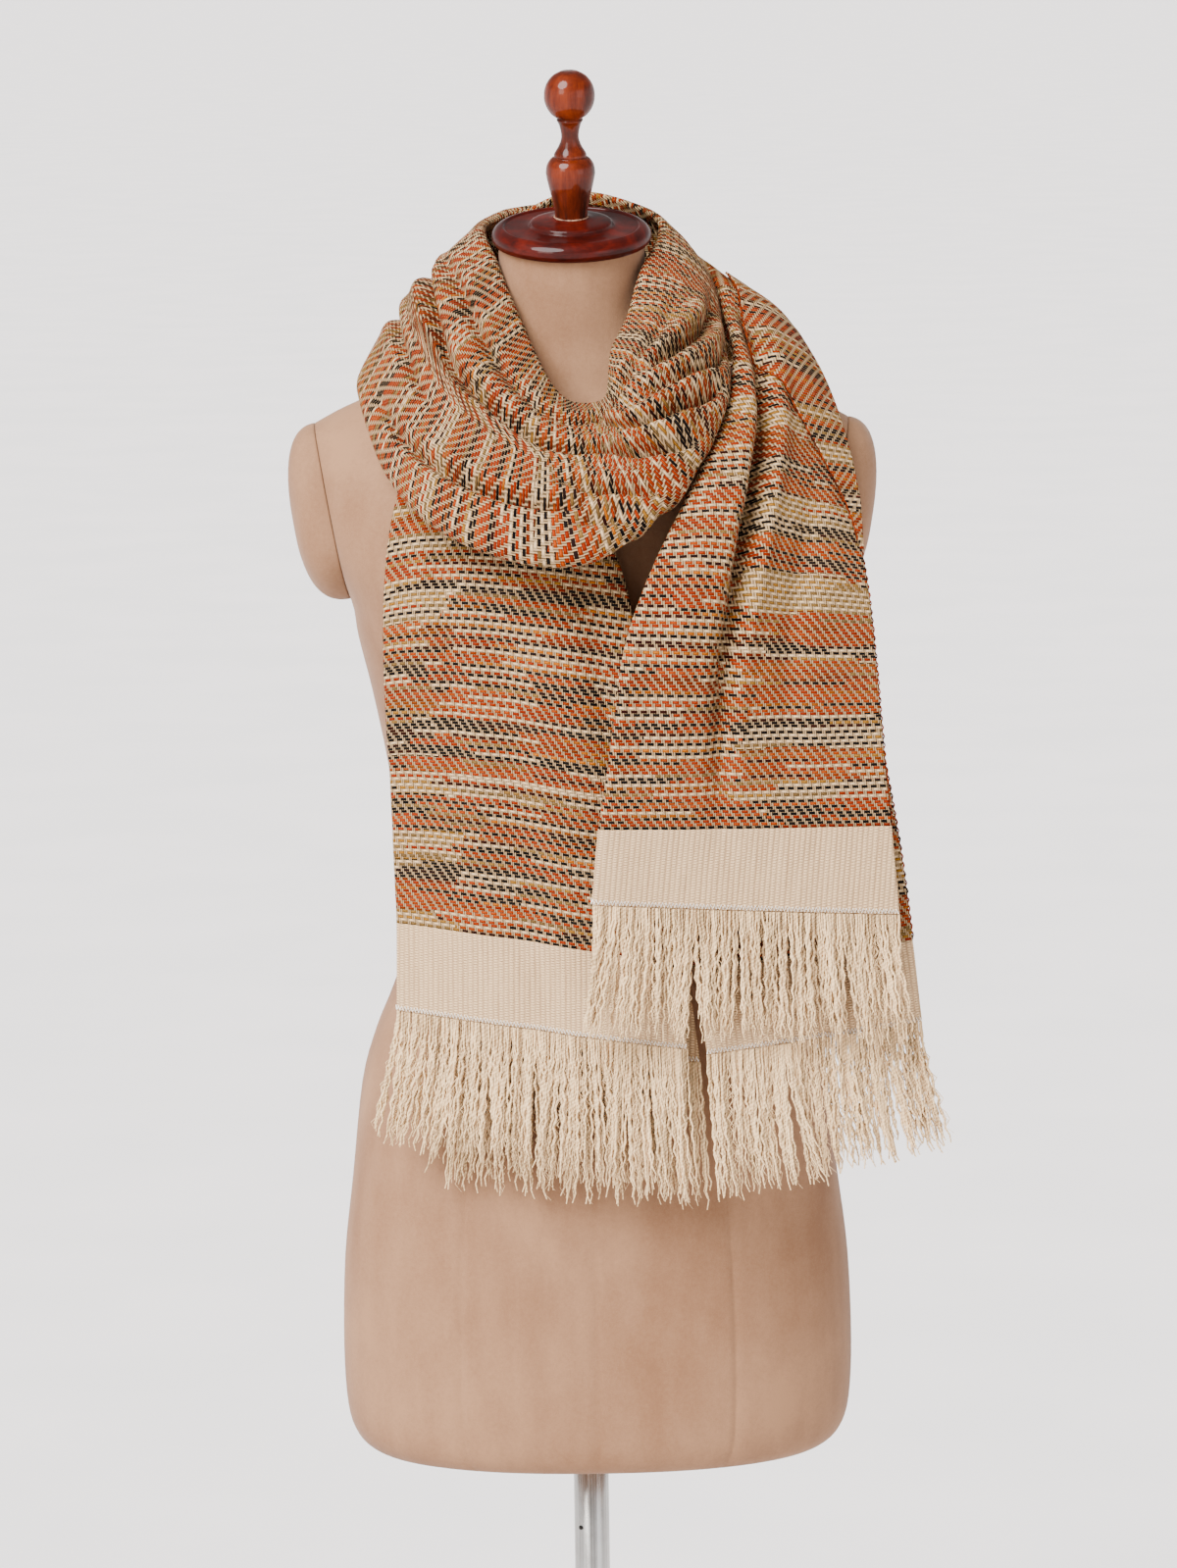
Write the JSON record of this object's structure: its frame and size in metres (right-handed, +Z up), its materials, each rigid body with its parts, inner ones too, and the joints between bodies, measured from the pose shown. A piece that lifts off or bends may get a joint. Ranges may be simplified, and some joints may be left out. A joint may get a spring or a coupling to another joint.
{
  "type": "pashmina shawl on a limbless dress form",
  "caption": "Handwoven wool shawl folded lengthwise and wound round the neck of a limbless dress form, with a draped cowl, cream borders and fringed ends, on a steel stand.",
  "frame": {"origin": "centre of the stand's underside, on the floor", "axes": "+Z up the stand, -Y out of the front of the form, +X to the viewer's right"},
  "size_m": [0.4209, 0.3522, 1.5179],
  "materials": {
    "woven_cloth": "coarse handwoven twill, space-dyed orange, gold, brown and charcoal with cream",
    "cream_border": "cream ribbed plain weave with a zigzag hem stitch",
    "cream_fringe": "crinkled cream yarn ends",
    "form_cover": "beige velour stretched over the form",
    "cap_wood": "dark red-brown gloss lacquer",
    "finial_wood": "orange-brown gloss lacquer",
    "steel": "brushed"
  },
  "bodies": {
    "root": {"nape_turn": "woven_cloth", "cowl": "woven_cloth", "back_turn": "woven_cloth", "right_end": "woven_cloth", "right_turnback": "woven_cloth", "right_back_layer": "woven_cloth", "left_end": "woven_cloth", "left_back_layer": "woven_cloth", "right_border": "cream_border", "right_back_border": "cream_border", "left_border": "cream_border", "left_back_border": "cream_border", "right_fringe": "cream_fringe", "right_back_fringe": "cream_fringe", "left_fringe": "cream_fringe", "left_back_fringe": "cream_fringe", "torso": "form_cover", "shoulder_cap_left": "form_cover", "shoulder_cap_right": "form_cover", "neck_cap": "cap_wood", "finial": "finial_wood", "pole_flange": "steel", "pole": "steel", "pole_socket": "steel", "base_plate": "steel"}
  },
  "joints": []
}
